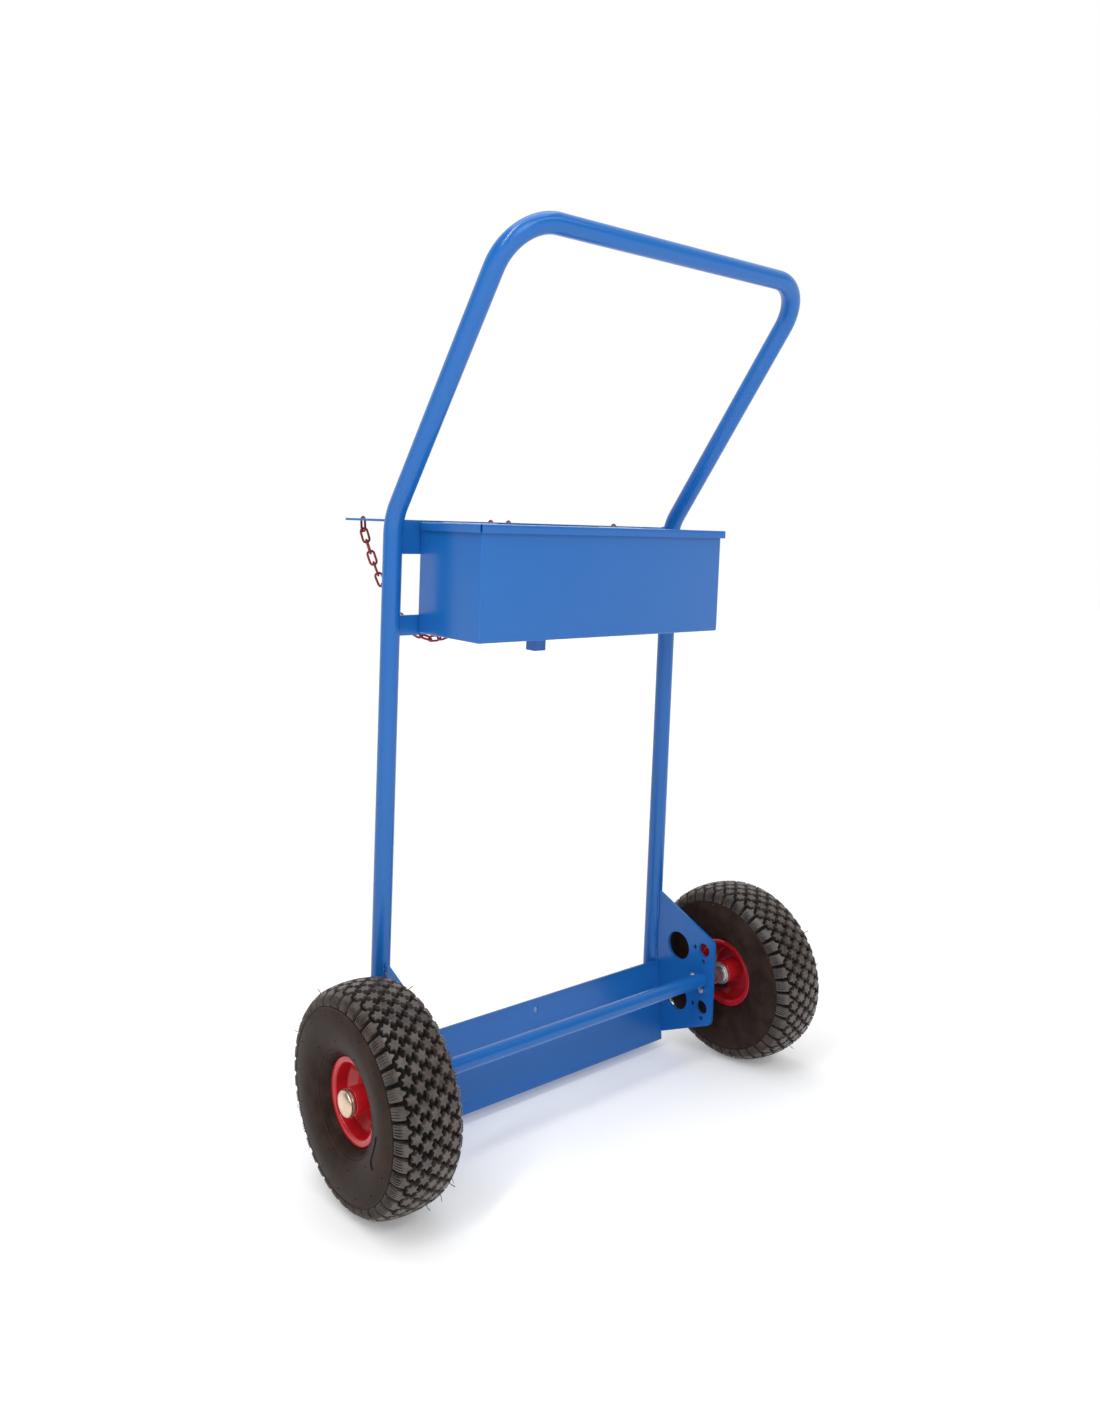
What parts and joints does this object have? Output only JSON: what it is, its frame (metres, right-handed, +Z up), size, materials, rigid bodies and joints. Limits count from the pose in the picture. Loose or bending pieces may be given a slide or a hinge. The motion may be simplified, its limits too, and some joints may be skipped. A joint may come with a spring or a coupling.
{
  "type": "gas cylinder trolley",
  "caption": "Hand trolley for gas cylinders: bent-tube frame, pneumatic wheels, base tray, retaining plate with chains, and a tool box with a hinged lid.",
  "frame": {"origin": "middle of the bounding box on the ground under the trolley", "axes": "+X to the right along the axle seen from the operator, +Y forward to the cylinder side, +Z up"},
  "size_m": [0.756, 0.5866, 1.1315],
  "materials": {
    "blue_paint": "gloss powder coat",
    "red_paint": "gloss enamel",
    "red_chain": "dipped red coat",
    "zinc_steel": "zinc plated",
    "tyre": "moulded black rubber",
    "tube_rubber": "butyl rubber",
    "bush_plastic": "natural nylon"
  },
  "bodies": {
    "frame": {"handle_frame": "blue_paint", "base_tray": "blue_paint", "side_plate_left": "blue_paint", "side_plate_right": "blue_paint", "axle": "blue_paint", "retaining_plate": "blue_paint", "lower_crossbar": "blue_paint", "centre_post": "blue_paint", "tool_box": "blue_paint", "box_screws": "zinc_steel", "box_nuts": "zinc_steel", "fixed_hinge_leaves": "zinc_steel", "hinge_pins": "zinc_steel", "chain_end_links": "red_chain", "spacer_left": "zinc_steel", "axle_washer_left": "zinc_steel", "axle_cap_left": "zinc_steel", "axle_ear_left": "blue_paint", "ear_bolts_left": "zinc_steel", "ear_nuts_left": "zinc_steel", "spacer_right": "zinc_steel", "axle_washer_right": "zinc_steel", "axle_cap_right": "zinc_steel", "axle_ear_right": "blue_paint", "ear_bolts_right": "zinc_steel", "ear_nuts_right": "zinc_steel"},
    "lid": {"lid": "blue_paint", "lid_hinge_leaves": "zinc_steel"},
    "wheel_left": {"tyre_left": "tyre", "inner_tube_left": "tube_rubber", "rim_outer_left": "red_paint", "rim_inner_left": "red_paint", "hub_tube_left": "red_paint", "hub_bushes_left": "bush_plastic", "valve_stem_left": "tube_rubber"},
    "wheel_right": {"tyre_right": "tyre", "inner_tube_right": "tube_rubber", "rim_outer_right": "red_paint", "rim_inner_right": "red_paint", "hub_tube_right": "red_paint", "hub_bushes_right": "bush_plastic", "valve_stem_right": "tube_rubber"},
    "chain_left": {"chain_left": "red_chain"},
    "chain_right": {"chain_right": "red_chain"}
  },
  "joints": [
    {"name": "wheel_left_spin", "type": "hinge", "parent": "frame", "child": "wheel_left", "pos_m": [-0.331, -0.03735, 0.13], "axis": [1, 0, 0], "continuous": true},
    {"name": "wheel_right_spin", "type": "hinge", "parent": "frame", "child": "wheel_right", "pos_m": [0.331, -0.03735, 0.13], "axis": [1, 0, 0], "continuous": true},
    {"name": "lid_hinge", "type": "hinge", "parent": "frame", "child": "lid", "pos_m": [0, -0.02571, 0.81039], "axis": [-1, 0, 0], "range_deg": [0, 100]},
    {"name": "chain_left_swing", "type": "hinge", "parent": "frame", "child": "chain_left", "pos_m": [-0.1275, 0.0847, 0.816], "axis": [1, 0, 0], "range_deg": [-20, 45]},
    {"name": "chain_right_swing", "type": "hinge", "parent": "frame", "child": "chain_right", "pos_m": [0.1275, 0.0847, 0.816], "axis": [1, 0, 0], "range_deg": [-20, 45]}
  ]
}
